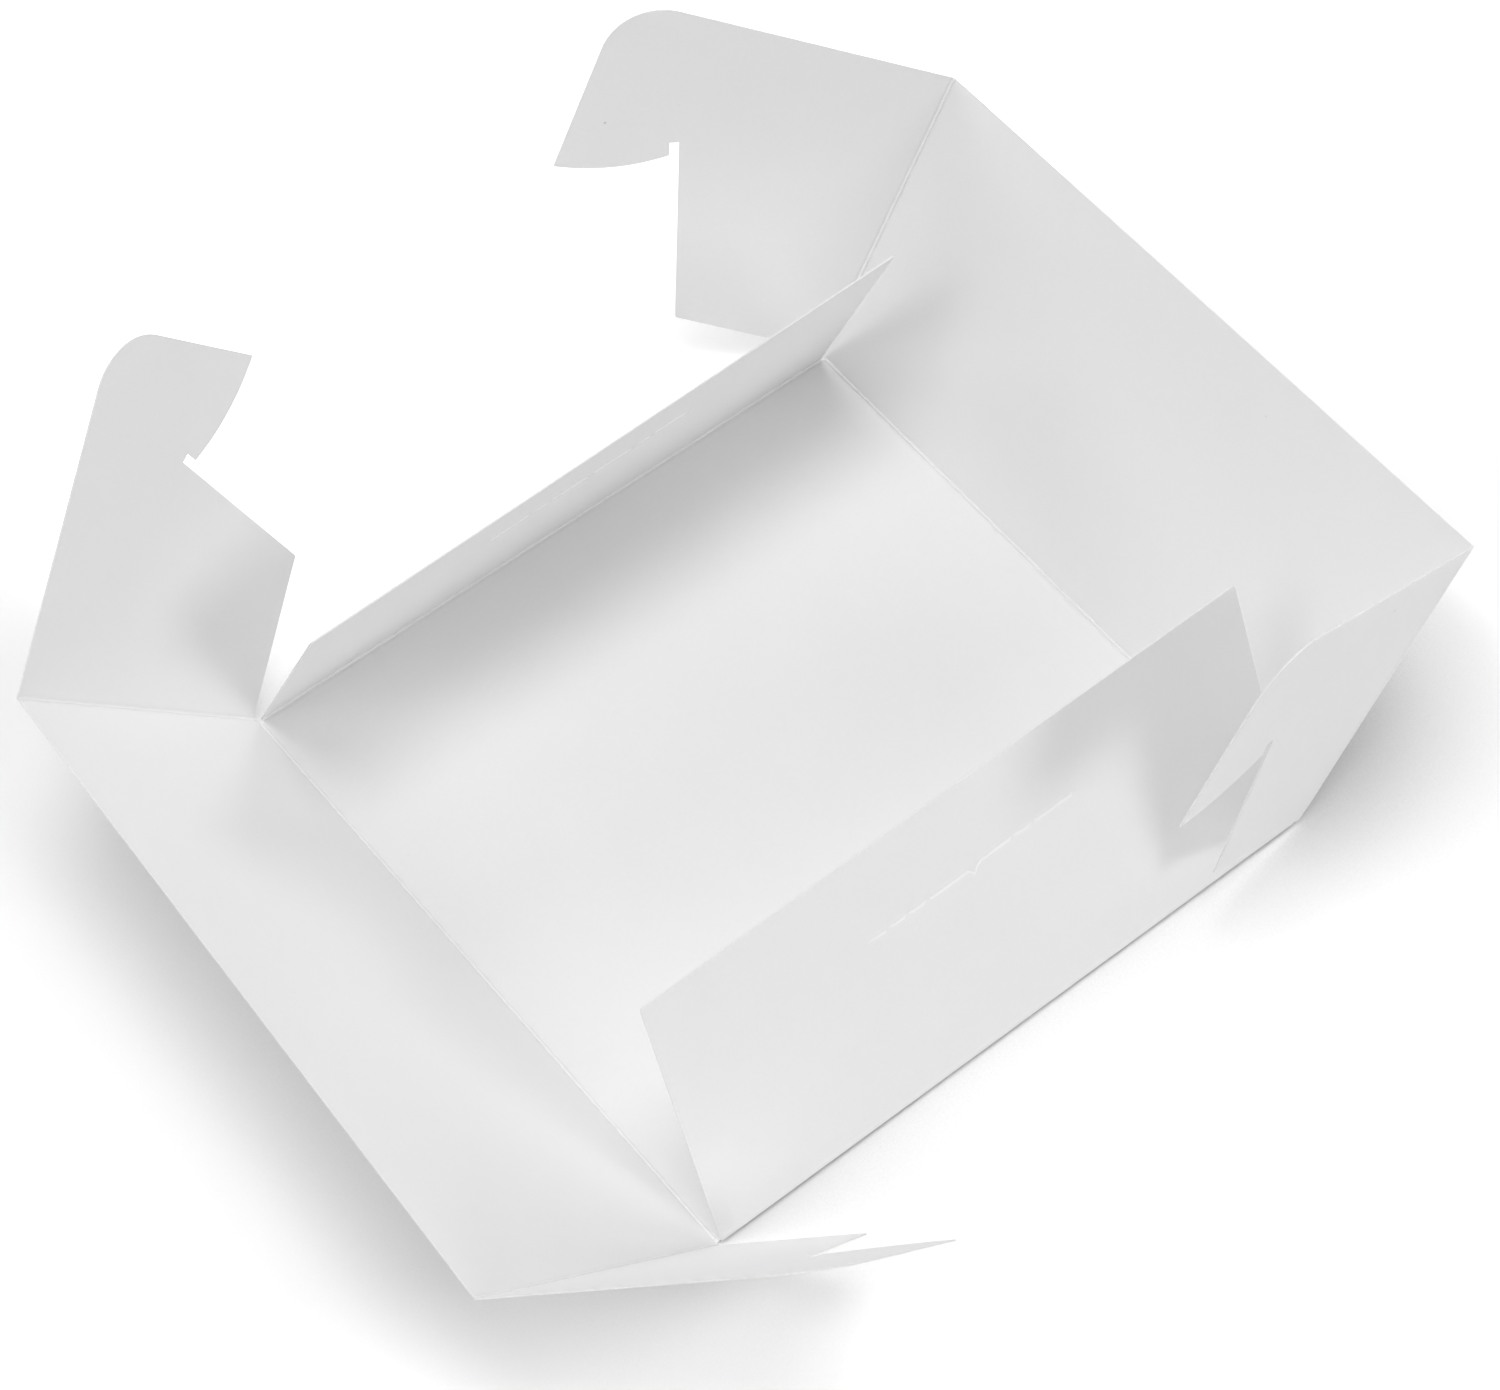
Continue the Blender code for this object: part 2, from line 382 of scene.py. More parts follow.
def build_mottle_group():
    """Cloudy density of the fibre: a colour that wanders between a pale and a dense tone."""
    tree, given, result = group_with(
        "fibre_mottle",
        [
            ("Place", "Vector", None),
            ("Pale", "Color", WHITE),
            ("Dense", "Color", WHITE),
            ("Cloud Scale", "Float", CLOUD_SCALE),
            ("Fibre Scale", "Float", FIBRE_SCALE),
        ],
        [("Colour", "Color")],
    )
    clouds = noise(tree, given["Place"], given["Cloud Scale"], CLOUD_DETAIL)
    fibres = noise(tree, given["Place"], given["Fibre Scale"], FIBRE_DETAIL, FIBRE_ROUGHNESS)
    both = calculate(tree, "MULTIPLY_ADD", clouds, CLOUD_SHARE, fibres)
    density = calculate(tree, "MULTIPLY_ADD", both, DENSITY_GAIN, DENSITY_OFFSET, clamp=True)
    feed(tree, result, {"Colour": mix_colours(tree, density, given["Pale"], given["Dense"])})
    return tree


fibre_mottle = build_mottle_group()
print("Mottle group nodes:", len(fibre_mottle.nodes))

# %% Paper tooth group
GRAIN_SCALE = 2600.0
GRAIN_DETAIL = 2.0
GRAIN_ROUGHNESS = 0.6
GRAIN_SHARE = 0.4
LINE_SCALE = 700.0
LINE_DETAIL = 2.0
LINE_SHARE = 0.6
# The noise is read at a share of its Y, which draws it out along Y into long calender lines
LINE_STRETCH_SHARES = (1.0, 0.22, 1.0)
LOWEST_HEIGHT = 0.35
HIGHEST_HEIGHT = 0.65
LEAST_ROUGHNESS = 0.5
GREATEST_ROUGHNESS = 0.7


def build_tooth_group():
    """Height and roughness of the coat: long calender lines over a fine grain."""
    tree, given, result = group_with(
        "paper_tooth",
        [
            ("Place", "Vector", None),
            ("Grain Scale", "Float", GRAIN_SCALE),
            ("Smoothest", "Float", LEAST_ROUGHNESS),
            ("Roughest", "Float", GREATEST_ROUGHNESS),
        ],
        [("Height", "Float"), ("Roughness", "Float")],
    )
    both = {0: given["Place"], 1: LINE_STRETCH_SHARES}
    stretched = add_node(tree, "ShaderNodeVectorMath", both, operation="MULTIPLY")
    lines = noise(tree, stretched.outputs["Vector"], LINE_SCALE, LINE_DETAIL)
    grain = noise(tree, given["Place"], given["Grain Scale"], GRAIN_DETAIL, GRAIN_ROUGHNESS)
    grain_part = calculate(tree, "MULTIPLY", grain, GRAIN_SHARE)
    height = calculate(tree, "MULTIPLY_ADD", lines, LINE_SHARE, grain_part)
    roughness = map_range(
        tree, height, LOWEST_HEIGHT, HIGHEST_HEIGHT, given["Smoothest"], given["Roughest"]
    )
    feed(tree, result, {"Height": height, "Roughness": roughness})
    return tree


paper_tooth = build_tooth_group()
print("Tooth group nodes:", len(paper_tooth.nodes))

# %% Stray fleck group
FLECK_COLOUR = (0.5, 0.5, 0.48, 1.0)
FLECK_CELLS = 90.0
# How far a fleck reaches from the middle of its cell, and the share of cells that hold one
FLECK_SIZE = 0.06
FLECK_SHARE = 0.04


def build_fleck_group():
    """Tiny grey specks, a few to a hand's breadth: a colour with the specks laid over it."""
    tree, given, result = group_with(
        "stray_flecks",
        [
            ("Place", "Vector", None),
            ("Colour", "Color", WHITE),
            ("Fleck Colour", "Color", FLECK_COLOUR),
            ("Cells", "Float", FLECK_CELLS),
            ("Share", "Float", FLECK_SHARE),
            ("Size", "Float", FLECK_SIZE),
        ],
        [("Colour", "Color")],
    )
    spread = {"Vector": given["Place"], "Scale": given["Cells"]}
    cells = add_node(tree, "ShaderNodeTexVoronoi", spread, feature="F1").outputs
    chance = add_node(tree, "ShaderNodeSeparateColor", {"Color": cells["Color"]}).outputs["Red"]
    picked = calculate(tree, "LESS_THAN", chance, given["Share"])
    near = calculate(tree, "DIVIDE", cells["Distance"], given["Size"])
    spot = calculate(tree, "SUBTRACT", 1.0, near, clamp=True)
    mask = calculate(tree, "MULTIPLY", picked, spot)
    feed(tree, result, {"Colour": mix_colours(tree, mask, given["Colour"], given["Fleck Colour"])})
    return tree


stray_flecks = build_fleck_group()
print("Fleck group nodes:", len(stray_flecks.nodes))

# %% [markdown]
# ## Four finishes of one sheet
#
# `coated_face` is the smooth white side that is seen almost everywhere. `pressed_crease` is the same
# coat where the creasing rule has crushed it: a touch brighter on the ridge and with more tooth.
# The coat on both lips of a slit is painted almost pure white, a painted highlight that strengthens the
# pale line where the lower lip catches the light. `cut_edge` is bare fibre where the knife went
# through, slightly warmer and rougher than the coat.

# %% Board materials
# Each finish: its tone where the fibre is thin and where it is dense, its least and greatest
# roughness, the depth of its tooth, and the share of cells that hold a fleck
FINISH_LOOKS = {
    "coated_face": (
        (0.87, 0.87, 0.87, 1.0), (0.85, 0.85, 0.85, 1.0), 0.52, 0.70, 0.004 * MM, 0.03
    ),
    "pressed_crease": (
        (0.90, 0.90, 0.90, 1.0), (0.87, 0.87, 0.87, 1.0), 0.58, 0.78, 0.010 * MM, 0.0
    ),
    # Near white on both lips of a slit: a painted highlight, not a tone of the board
    "lip_painted_highlight": (
        (0.97, 0.97, 0.97, 1.0), (0.95, 0.95, 0.95, 1.0), 0.60, 0.75, 0.006 * MM, 0.0
    ),
    "cut_edge": (
        (0.87, 0.867, 0.862, 1.0), (0.78, 0.775, 0.765, 1.0), 0.75, 0.92, 0.020 * MM, 0.0
    ),
}
BOARD_GLOSS = 0.35


def board_finish(name, pale, dense, smoothest, roughest, tooth_depth, fleck_share):
    material = bpy.data.materials.new(name)
    material.use_nodes = True
    tree = material.node_tree
    place = add_node(tree, "ShaderNodeTexCoord").outputs["Object"]

    def add_group(group, **sources):
        return add_node(
            tree, "ShaderNodeGroup", {"Place": place} | sources, node_tree=group
        ).outputs

    mottle = add_group(fibre_mottle, Pale=pale, Dense=dense)
    flecked = add_group(stray_flecks, Colour=mottle["Colour"], Share=fleck_share)
    tooth = add_group(paper_tooth, Smoothest=smoothest, Roughest=roughest)
    relief = {"Strength": 1.0, "Distance": tooth_depth, "Height": tooth["Height"]}
    board = {
        "Base Color": flecked["Colour"],
        "Roughness": tooth["Roughness"],
        "Normal": add_node(tree, "ShaderNodeBump", relief).outputs["Normal"],
        "Metallic": 0.0,
        "Specular IOR Level": BOARD_GLOSS,
    }
    feed(tree, tree.nodes["Principled BSDF"], board)
    return material


finishes = {name: board_finish(name, *look) for name, look in FINISH_LOOKS.items()}
print("Finishes:", sorted(finishes))

# %% [markdown]
# ## Sizes of the sheet
#
# These are the CAD model's own sizes. Every panel is first drawn flat, in a frame of its own: X runs
# along its crease, Y runs away from the crease, and Z points into the box. The line that the board
# turns on is that frame's X axis. It lies just above the inner face, so the board's two faces are
# below it.

# %% Panel sizes
BASE_SIDE = 254 * MM
SIDE_WALL_HEIGHT = 127 * MM
END_WALL_HEIGHT = 105.5 * MM
BOARD = 0.5 * MM
PIVOT_LIFT = 0.15 * MM
INNER_FACE = -PIVOT_LIFT
OUTER_FACE = -PIVOT_LIFT - BOARD
PIVOT_HEIGHT = PIVOT_LIFT + BOARD
MIDDLE_OF_BOARD = (INNER_FACE + OUTER_FACE) / 2
END_WALL_INSET = 1.4 * MM
WING_CREASE_CLEARANCE = 0.8 * MM
WING_CREASE_OFFSET = BASE_SIDE / 2 + WING_CREASE_CLEARANCE
SOFT_CORNER_RADIUS = 1.2 * MM
SOFT_CORNER_STEPS = 4
WRAP_LENGTH = 1.0 * MM
QUARTER_TURN = math.radians(90)
print("Board in mm:", BOARD / MM)

# %% How far each panel is folded, and how far it is warped
FOLDS = {
    "left_wall": math.radians(45.8),
    "right_wall": math.radians(62.8),
    "front_wall": math.radians(113.5),
    "back_wall": math.radians(112.2),
    "left_front_wing": math.radians(49.2),
    "left_back_wing": math.radians(64.3),
    "right_front_wing": math.radians(82.4),
    "right_back_wing": math.radians(55.6),
}
# How much further each wall is folded at its +X end than in its middle
TWISTS = {
    "left_wall": math.radians(2.96),
    "right_wall": math.radians(-0.9),
    "front_wall": math.radians(-0.8),
    "back_wall": math.radians(-1.15),
}
HEADINGS = {
    "back_wall": math.radians(0),
    "left_wall": math.radians(90),
    "front_wall": math.radians(180),
    "right_wall": math.radians(-90),
}
print("Warped walls:", sorted(TWISTS))

# %% [markdown]
# ## Cutting a panel out of the sheet
#
# A panel could be one flat polygon, but then it couldn't curve. It could also be a plane that is
# subdivided and trimmed by a Boolean, but that leaves ragged slivers along curved edges. Here the
# outline and a grid of inner points are joined by Blender's Delaunay triangulation, which keeps the
# outline exact and the triangles even. The flat net is then given the board's thickness: an inner
# face, an outer face and a cut edge all round.

# %% Grid levels, and where they cross an outline
GRID_STEP = 9 * MM
NEAR_EDGE = 0.03 * MM


def levels_between(low, high, step):
    """Evenly spaced levels from low to high, ends included."""
    count = max(1, round((high - low) / step))
    return [low + (high - low) * index / count for index in range(count + 1)]


def cross_levels(loop, x_levels, y_levels):
    """Add a point wherever the outline crosses a grid line, so that its edges can bend there."""
    points = []
    for start, end in zip(loop, loop[1:] + loop[:1]):
        shares = {0.0}
        for axis, levels in ((0, x_levels), (1, y_levels)):
            span = end[axis] - start[axis]
            if abs(span) > NEAR_EDGE:
                shares.update((level - start[axis]) / span for level in levels)
        gap = NEAR_EDGE / max((Vector(end) - Vector(start)).length, NEAR_EDGE)
        kept = [0.0]
        for share in sorted(shares):
            if kept[-1] + gap < share < 1 - gap:
                kept.append(share)
        points += [
            (start[0] + (end[0] - start[0]) * share, start[1] + (end[1] - start[1]) * share)
            for share in kept
        ]
    return points


# %% Inside an outline or near it
def is_inside(point, loop):
    """True if a line from the point to the right crosses the loop an odd number of times."""
    x, y = point
    crossed = False
    for (x0, y0), (x1, y1) in zip(loop, loop[1:] + loop[:1]):
        if (y0 > y) != (y1 > y) and x < x0 + (y - y0) * (x1 - x0) / (y1 - y0):
            crossed = not crossed
    return crossed


def is_near(point, loop):
    """True if the point lies almost on the loop."""
    spot = Vector(point)
    for start, end in zip(loop, loop[1:] + loop[:1]):
        first = Vector(start)
        along = Vector(end) - first
        share = min(max((spot - first).dot(along) / along.length_squared, 0.0), 1.0)
        if (first + along * share - spot).length < NEAR_EDGE:
            return True
    return False


# %% Outlines with a grid inside
SAME_POINT = 0.0003 * MM
SLIVER_AREA = 0.001 * MM * MM


def triangulate(outline, holes, x_levels, y_levels, extra_points):
    """Points and triangles of a flat net between an outline and its holes."""
    loops = [cross_levels(loop, x_levels, y_levels) for loop in [outline] + holes]
    points = []
    edges = []
    for loop in loops:
        first = len(points)
        points += loop
        edges += [(first + index, first + (index + 1) % len(loop)) for index in range(len(loop))]
    for x in x_levels:
        for y in y_levels:
            if not is_inside((x, y), loops[0]) or any(is_near((x, y), loop) for loop in loops):
                continue
            if any(is_inside((x, y), hole) for hole in loops[1:]):
                continue
            points.append((x, y))
    points += extra_points
    result = delaunay_2d_cdt([Vector(point) for point in points], edges, [], 0, SAME_POINT)
    net_points = [tuple(point) for point in result[0]]
    triangles = []
    for face in result[2]:
        corners = [Vector(net_points[index]) for index in face]
        centre = tuple(sum(corners, Vector((0, 0))) / 3)
        # Points along a straight cut edge are never quite in line, which leaves slivers outside it
        area = abs((corners[1] - corners[0]).cross(corners[2] - corners[0])) / 2
        if area < SLIVER_AREA or any(is_inside(centre, hole) for hole in loops[1:]):
            continue
        if is_inside(centre, loops[0]):
            triangles.append(tuple(face))
    return net_points, triangles


# %% Giving the net the board's thickness
def nowhere(x, y):
    return False


def flat_board(
    name, outline, x_levels, y_levels, relief, holes=(), extra_points=(), is_painted_bright=nowhere
):
    """A closed slab of board. Its cut edge and the faces picked for a painted highlight are marked in
    face attributes.

    relief gives, for a point of the sheet, how far its inner and its outer face are lifted.
    """
    points, triangles = triangulate(outline, list(holes), x_levels, y_levels, list(extra_points))
    count = len(points)
    lifts = [relief(x, y) for x, y in points]
    vertices = [(x, y, INNER_FACE + lift[0]) for (x, y), lift in zip(points, lifts)]
    vertices += [(x, y, OUTER_FACE + lift[1]) for (x, y), lift in zip(points, lifts)]
    sides = set()
    for a, b, c in triangles:
        sides.update(((a, b), (b, c), (c, a)))
    rims = [(a, a + count, b + count, b) for a, b in sorted(sides) if (b, a) not in sides]
    outer = [(c + count, b + count, a + count) for a, b, c in triangles]
    mesh = bpy.data.meshes.new(name)
    mesh.from_pydata(vertices, [], triangles + outer + rims)
    # The faces picked out here are later painted near white, as a painted highlight
    highlight_marks = []
    for corners in triangles:
        x, y = (sum(points[corner][axis] for corner in corners) / 3 for axis in (0, 1))
        highlight_marks.append(is_painted_bright(x, y))
    marks = {
        "cut_edge": [False] * (2 * len(triangles)) + [True] * len(rims),
        "painted_highlight_mark": highlight_marks + highlight_marks + [False] * len(rims),
    }
    for mark, values in marks.items():
        mesh.attributes.new(mark, "BOOLEAN", "FACE").data.foreach_set("value", values)
    return mesh


# %% [markdown]
# ## Folding by rule
#
# Every panel bends in the same way, so one Geometry Nodes tree folds them all. A point's way from the
# crease tells it what to do. Before the crease (Y below zero) the board wraps round the turning line,
# so the point gets its share of the fold. Past the crease it is carried out along the folded
# direction. Warped board is folded further at one end of its crease than at the other, so the fold
# grows along X.
#
# The alternative, rotating vertices in Python, gives the same mesh, but the tree shows the rule and
# its inputs can be tried out on any board.

# %% The two nodes that end a tree
def realize(tree, geometry):
    """A Realize Instances node."""
    return add_node(tree, "GeometryNodeRealizeInstances", {"Geometry": geometry}).outputs["Geometry"]


def set_material(tree, geometry, material, selection=True):
    """A Set Material node."""
    sources = {"Geometry": geometry, "Selection": selection, "Material": material}
    return add_node(tree, "GeometryNodeSetMaterial", sources).outputs["Geometry"]


# %% The fold tree
def build_fold_tree():
    tree = bpy.data.node_groups.new("fold_along_crease", "GeometryNodeTree")
    add_socket(tree, "Board", "INPUT", "Geometry")
    for label in ("Fold", "Twist", "Half Length", "Wrap Length"):
        add_socket(tree, label, "INPUT", "Float", 1.0)
    for label in ("Face Finish", "Edge Finish", "Painted Highlight Finish"):
        add_socket(tree, label, "INPUT", "Material")
    add_socket(tree, "Folded Board", "OUTPUT", "Geometry")
    given = add_node(tree, "NodeGroupInput").outputs
    result = add_node(tree, "NodeGroupOutput")

    position = add_node(tree, "GeometryNodeInputPosition").outputs["Position"]
    flat = add_node(tree, "ShaderNodeSeparateXYZ", {"Vector": position}).outputs
    along, away, depth = flat["X"], flat["Y"], flat["Z"]

    end_share = calculate(tree, "DIVIDE", along, given["Half Length"])
    full_fold = calculate(tree, "MULTIPLY_ADD", given["Twist"], end_share, given["Fold"])
    wrap_share = calculate(tree, "DIVIDE", away, given["Wrap Length"])
    wrapped = calculate(tree, "ADD", wrap_share, 1.0, clamp=True)
    angle = calculate(tree, "MULTIPLY", full_fold, wrapped)
    reach = calculate(tree, "MAXIMUM", away, 0.0)

    cosine = calculate(tree, "COSINE", angle)
    sine = calculate(tree, "SINE", angle)
    reach_outward = calculate(tree, "MULTIPLY", reach, cosine)
    depth_outward = calculate(tree, "MULTIPLY", depth, sine)
    outward = calculate(tree, "SUBTRACT", reach_outward, depth_outward)
    depth_upward = calculate(tree, "MULTIPLY", depth, cosine)
    upward = calculate(tree, "MULTIPLY_ADD", reach, sine, depth_upward)
    folded = add_node(tree, "ShaderNodeCombineXYZ", {"X": along, "Y": outward, "Z": upward})

    moves = {"Geometry": given["Board"], "Position": folded.outputs["Vector"]}
    placed = add_node(tree, "GeometryNodeSetPosition", moves).outputs["Geometry"]
    painted = set_material(tree, realize(tree, placed), given["Face Finish"])
    # Cut edges get their own finish, and the slit's lips the near-white finish that paints a highlight
    # on them
    for mark, finish in (("cut_edge", "Edge Finish"), ("painted_highlight_mark", "Painted Highlight Finish")):
        is_marked = add_node(
            tree, "GeometryNodeInputNamedAttribute", {"Name": mark}, data_type="BOOLEAN"
        ).outputs["Attribute"]
        painted = set_material(tree, painted, given[finish], is_marked)
    feed(tree, result, {"Folded Board": painted})
    return tree


fold_tree = build_fold_tree()
print("Fold tree nodes:", len(fold_tree.nodes))

# %% Running a tree and keeping its mesh
SMOOTH_BELOW = math.radians(35)


def run_tree(name, mesh, tree, values, placement):
    """Put a tree on a mesh, keep what it makes as a plain mesh, and move that to its place."""
    source = add_object(name + "_source", mesh)
    modifier = source.modifiers.new("tree", "NODES")
    modifier.node_group = tree
    for item in tree.interface.items_tree:
        if item.in_out == "INPUT" and item.name in values:
            modifier[item.identifier] = values[item.name]
    depsgraph = bpy.context.evaluated_depsgraph_get()
    made = bpy.data.meshes.new_from_object(source.evaluated_get(depsgraph), depsgraph=depsgraph)
    source.modifiers.remove(modifier)
    bpy.data.objects.remove(source, do_unlink=True)
    made.name = name
    made.transform(placement)
    made.shade_smooth()
    made.set_sharp_from_angle(angle=SMOOTH_BELOW)
    return add_object(name, made)


def fold_board(name, mesh, placement, fold, twist=0.0, half_length=BASE_SIDE / 2):
    """Fold a flat board along its crease and put it in its place."""
    values = {
        "Fold": fold,
        "Twist": twist,
        "Half Length": half_length,
        "Wrap Length": WRAP_LENGTH,
        "Face Finish": finishes["coated_face"],
        "Edge Finish": finishes["cut_edge"],
        # The slit's lips get the near-white finish, a painted highlight
        "Painted Highlight Finish": finishes["lip_painted_highlight"],
    }
    return run_tree(name, mesh, fold_tree, values, placement)


# %% [markdown]
# ## Pressed lines beside a crease
#
# A creasing rule leaves more than a fold. On the inside of the sheet it raises a bead, with a
# shallow groove pressed along each side of it. On the outside the coat stands up in a low shoulder.
# These are tenths of a millimetre, but they are what draws the thin dark and light lines beside
# every fold, so they are shaped in the mesh.
#
# The board also turns through up to 114 degrees within one millimetre of sheet, so that strip gets
# eight rows of its own, and the groove and shoulder get six. The rest of a panel is nearly flat and
# needs a row only every few millimetres.

# %% Groove and shoulder
GROOVE_DISTANCE = 0.75 * MM
GROOVE_HALF_WIDTH = 0.5 * MM
GROOVE_DEPTH = 0.22 * MM
SHOULDER_DISTANCE = 1.1 * MM
SHOULDER_HALF_WIDTH = 0.8 * MM
SHOULDER_HEIGHT = 0.12 * MM
WRAP_ROWS = 8
GROOVE_STEPS = 5


def ridge(distance, middle, half_width):
    """A smooth ridge of height 1 with its top at the middle, and 0 beyond its half width."""
    share = min(abs(distance - middle) / half_width, 1.0)
    return (1 + math.cos(math.pi * share)) / 2


def crease_relief(distance):
    """Lift of the inner and the outer face at a distance from a crease."""
    groove = -GROOVE_DEPTH * ridge(distance, GROOVE_DISTANCE, GROOVE_HALF_WIDTH)
    shoulder = -SHOULDER_HEIGHT * ridge(distance, SHOULDER_DISTANCE, SHOULDER_HALF_WIDTH)
    return groove, shoulder


def groove_levels():
    first = GROOVE_DISTANCE - GROOVE_HALF_WIDTH
    last = SHOULDER_DISTANCE + SHOULDER_HALF_WIDTH
    return levels_between(first, last, (last - first) / GROOVE_STEPS)


def rows_from_crease(height):
    """Rows of a panel that has a crease along its foot."""
    wrap = [WRAP_LENGTH * (index / WRAP_ROWS - 1) for index in range(WRAP_ROWS)]
    return wrap + [0.0] + groove_levels() + levels_between(GRID_STEP / 2, height, GRID_STEP)


def columns_between_creases(half):
    """Columns of a panel that has a crease at both sides."""
    near = [half - level for level in groove_levels()]
    middle = levels_between(-half + GRID_STEP / 2, half - GRID_STEP / 2, GRID_STEP)
    return [-half] + [-level for level in near] + middle + near[::-1] + [half]


print("Rows beside a crease, in mm:", [round(level / MM, 2) for level in groove_levels()])

# %% Rounded corners
def rounded_corner(before, corner, after, radius):
    """Points of an arc that rounds the corner between two straight edges."""
    corner = Vector(corner)
    towards_before = (Vector(before) - corner).normalized()
    towards_after = (Vector(after) - corner).normalized()
    half_angle = towards_before.angle(towards_after) / 2
    middle = (towards_before + towards_after).normalized()
    centre = corner + middle * (radius / math.sin(half_angle))
    first = corner + towards_before * (radius / math.tan(half_angle)) - centre
    last = corner + towards_after * (radius / math.tan(half_angle)) - centre
    sweep = first.angle_signed(last)
    return [
        tuple(centre + Matrix.Rotation(-sweep * step / SOFT_CORNER_STEPS, 2) @ first)
        for step in range(SOFT_CORNER_STEPS + 1)
    ]


# %% [markdown]
# ## The base
#
# The base is the middle of the sheet: a square that lies flat on the table. It never bends, so its
# fold is zero. It is drawn from its front crease backwards, and runs right up to each crease, where a
# wall's board takes over.

# %% Base panel
def make_base():
    half = BASE_SIDE / 2
    outline = [(-half, 0.0), (half, 0.0), (half, BASE_SIDE), (-half, BASE_SIDE)]
    columns = columns_between_creases(half)
    rows = [half + column for column in columns]

    def relief(x, y):
        return crease_relief(min(half - abs(x), half - abs(y - half)))[0], 0.0

    mesh = flat_board("base_board", outline, columns, rows, relief)
    placement = Matrix.Translation((0, -half, PIVOT_HEIGHT))
    piece = fold_board("base_board", mesh, placement, 0.0)
    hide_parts("base_panel")
    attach(piece, "base")
    return piece


base_board = make_base()
print("Base triangles:", len(base_board.data.polygons))

# %% [markdown]
# ## A wall that bends at its crease
#
# A wall swings on its joint while the base stays still, and on the real box the board between them
# bends.

# %% Placing a wall
BEND_REACH = 0.6 * MM


def crease_frame(wall):
    """The frame of a wall's crease before the wall is folded."""
    lift = Matrix.Translation((0, 0, PIVOT_HEIGHT))
    turn = Matrix.Rotation(HEADINGS[wall], 4, "Z")
    return lift @ turn @ Matrix.Translation((0, BASE_SIDE / 2, 0))


def bend_at_crease(piece, fold, still, moving):
    """Bake a folded piece's placement into its mesh."""
    end = Matrix.Rotation(fold, 4, "X") @ Vector((0, BEND_REACH, MIDDLE_OF_BOARD))
    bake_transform(piece)


# %% [markdown]
# ## The slit for the hooks
#
# A slit is a knife cut with no width of its own. The knife presses both lips into the box a little.
# The lower lip then faces up and catches the light, and both lips also carry a painted highlight of
# near-white coat, so from outside the cut is a thin pale line. The
# cut is not straight: at its middle it dips, steeply on one side and in a round curve on the other.

# %% The slit in an end wall
SLIT_FAR_END = -47.2 * MM
SLIT_NEAR_END = 44.5 * MM
SLIT_FAR_HEIGHT = 72.1 * MM
SLIT_NEAR_HEIGHT = 71.2 * MM
SLIT_WIDTH = 0.06 * MM
DIP_NEAR_SIDE = 1.1 * MM
DIP_BOTTOM = -0.8 * MM
DIP_FAR_SIDE = -5.1 * MM
DIP_HEIGHT = 68.6 * MM
DIP_STEPS = 8
SLIT_STEP = 4 * MM


def slit_height_at(x):
    """Height of the knife cut: level, then down a short steep flank and up a longer rounded one."""
    if x >= DIP_NEAR_SIDE:
        return SLIT_NEAR_HEIGHT
    if x <= DIP_FAR_SIDE:
        return SLIT_FAR_HEIGHT
    if x > DIP_BOTTOM:
        share = (x - DIP_BOTTOM) / (DIP_NEAR_SIDE - DIP_BOTTOM)
        return DIP_HEIGHT + (SLIT_NEAR_HEIGHT - DIP_HEIGHT) * share
    share = (x - DIP_BOTTOM) / (DIP_FAR_SIDE - DIP_BOTTOM)
    return DIP_HEIGHT + (SLIT_FAR_HEIGHT - DIP_HEIGHT) * math.sin(QUARTER_TURN * share)


def slit_stations():
    """Places along the cut, closer together round its dip."""
    dip_step = (DIP_BOTTOM - DIP_FAR_SIDE) / DIP_STEPS
    stations = levels_between(SLIT_FAR_END, DIP_FAR_SIDE, SLIT_STEP)
    stations += levels_between(DIP_FAR_SIDE, DIP_BOTTOM, dip_step)[1:]
    return stations + levels_between(DIP_NEAR_SIDE, SLIT_NEAR_END, SLIT_STEP)


def slit_outline():
    """The two edges of the cut, a hair's breadth apart, counter-clockwise."""
    lower_edge = [(x, slit_height_at(x) - SLIT_WIDTH / 2) for x in slit_stations()]
    upper_edge = [(x, slit_height_at(x) + SLIT_WIDTH / 2) for x in reversed(slit_stations())]
    return lower_edge + upper_edge


print("Slit length in mm:", round((SLIT_NEAR_END - SLIT_FAR_END) / MM, 1))

# %% The pressed lips of the slit
LIP_SINK = 0.5 * MM
LOWER_LIP_REACH = 0.8 * MM
UPPER_LIP_REACH = 0.4 * MM
LIP_FOOT = 0.12 * MM


def lip_points():
    """Points along both lips, so that the net can bend there."""
    below = (-LOWER_LIP_REACH - LIP_FOOT, -LOWER_LIP_REACH)
    reaches = below + (UPPER_LIP_REACH, UPPER_LIP_REACH + LIP_FOOT)
    stations = slit_stations()[1:-1]
    return [(x, slit_height_at(x) + reach) for x in stations for reach in reaches]


def lip_sink(x, y):
    """How far the knife has pressed the board at a point into the box."""
    above = y - slit_height_at(x)
    reach = UPPER_LIP_REACH if above > 0 else LOWER_LIP_REACH
    if abs(above) >= reach or not SLIT_FAR_END < x < SLIT_NEAR_END:
        return 0.0
    return LIP_SINK * (1 - abs(above) / reach)


def is_on_lip(x, y):
    return lip_sink(x, y) > 0


print("Lip points:", len(lip_points()))

# %% End walls
# How much narrower the top of each end wall is, at the low end and the high end of its own X
TOP_TRIMS = {"front_wall": (1.3 * MM, 0.0), "back_wall": (0.0, 1.0 * MM)}


